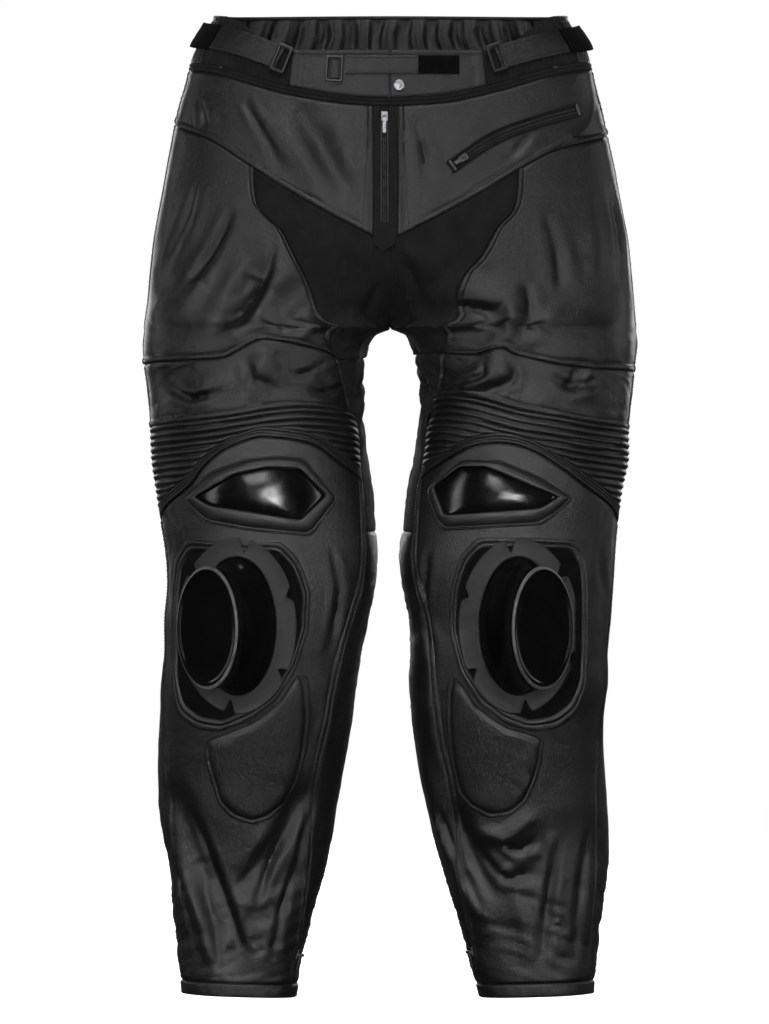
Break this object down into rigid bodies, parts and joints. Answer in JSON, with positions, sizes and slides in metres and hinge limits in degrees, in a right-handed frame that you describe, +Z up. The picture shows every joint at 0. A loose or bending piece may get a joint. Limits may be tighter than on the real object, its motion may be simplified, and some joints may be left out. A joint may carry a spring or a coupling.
{
  "type": "leather motorcycle trousers",
  "caption": "Black leather motorcycle trousers with ribbed knees, knee plates and sliders, a zipped hip pocket and a strapped waist, filled out with no wearer.",
  "frame": {"origin": "middle of the waist opening, level with the lower part of the front waistband", "axes": "+Z up the body, front of the trousers towards -Y, +X to the viewer's right of the front"},
  "size_m": [0.5099, 0.2508, 1.0167],
  "materials": {
    "leather": "grained, soft sheen",
    "stretch": "matt stretch weave",
    "pile": "matt looped pile",
    "rubber": "satin moulded",
    "gloss": "polished",
    "plastic": "satin",
    "steel": "bright"
  },
  "bodies": {
    "trousers": {"belt_buckle": "plastic", "belt_keeper": "leather", "belt_pile": "pile", "belt_strap": "leather", "calf_left": "leather", "calf_right": "leather", "calf_slider_left": "steel", "calf_slider_right": "steel", "crotch_panel": "stretch", "fly_slider": "steel", "fly_tab": "stretch", "fly_zip": "stretch", "hem_left": "leather", "hem_right": "leather", "hook_ring_left": "rubber", "hook_ring_right": "rubber", "inner_thigh_left": "stretch", "inner_thigh_right": "stretch", "knee_insert_left": "gloss", "knee_insert_right": "gloss", "knee_plate_left": "rubber", "knee_plate_right": "rubber", "knee_ribs_left": "leather", "knee_ribs_right": "leather", "pocket_slider": "steel", "pocket_zip": "stretch", "seat_left": "leather", "seat_right": "leather", "shin_guard_left": "leather", "shin_guard_right": "leather", "shin_left": "leather", "shin_right": "leather", "side_buckle_left": "plastic", "side_buckle_right": "plastic", "side_strap_left": "leather", "side_strap_pile_left": "pile", "side_strap_pile_right": "pile", "side_strap_right": "leather", "slider_base_left": "leather", "slider_base_right": "leather", "slider_left": "gloss", "slider_right": "gloss", "snap": "steel", "thigh_front_left": "leather", "thigh_front_right": "leather", "thigh_lower_left": "leather", "thigh_lower_right": "leather", "waist_binding": "stretch", "waist_gusset_left": "stretch", "waist_gusset_right": "stretch", "waistband_back": "leather", "waistband_front_left": "leather", "waistband_front_right": "leather", "yoke_left": "leather", "yoke_right": "leather"},
    "calf_pull_left": {"calf_pull_left": "steel"},
    "calf_pull_right": {"calf_pull_right": "steel"},
    "fly_pull": {"fly_pull": "steel"},
    "pocket_pull": {"pocket_pull": "steel"}
  },
  "joints": [
    {"name": "calf_pull_left_hinge", "type": "hinge", "parent": "trousers", "child": "calf_pull_left", "pos_m": [-0.09199, -0.00209, -0.89415], "axis": [-0.4965, -0.8637, 0.0871], "range_deg": [0, 150]},
    {"name": "calf_pull_right_hinge", "type": "hinge", "parent": "trousers", "child": "calf_pull_right", "pos_m": [0.08148, -0.00242, -0.89087], "axis": [-0.5213, 0.8508, -0.0663], "range_deg": [0, 150]},
    {"name": "fly_pull_hinge", "type": "hinge", "parent": "trousers", "child": "fly_pull", "pos_m": [-0.00572, -0.08454, -0.02835], "axis": [-1, 0.0037, 0.006], "range_deg": [0, 150]},
    {"name": "pocket_pull_hinge", "type": "hinge", "parent": "trousers", "child": "pocket_pull", "pos_m": [0.07574, -0.0881, -0.07123], "axis": [-0.5735, 0.0513, 0.8176], "range_deg": [0, 150]}
  ]
}
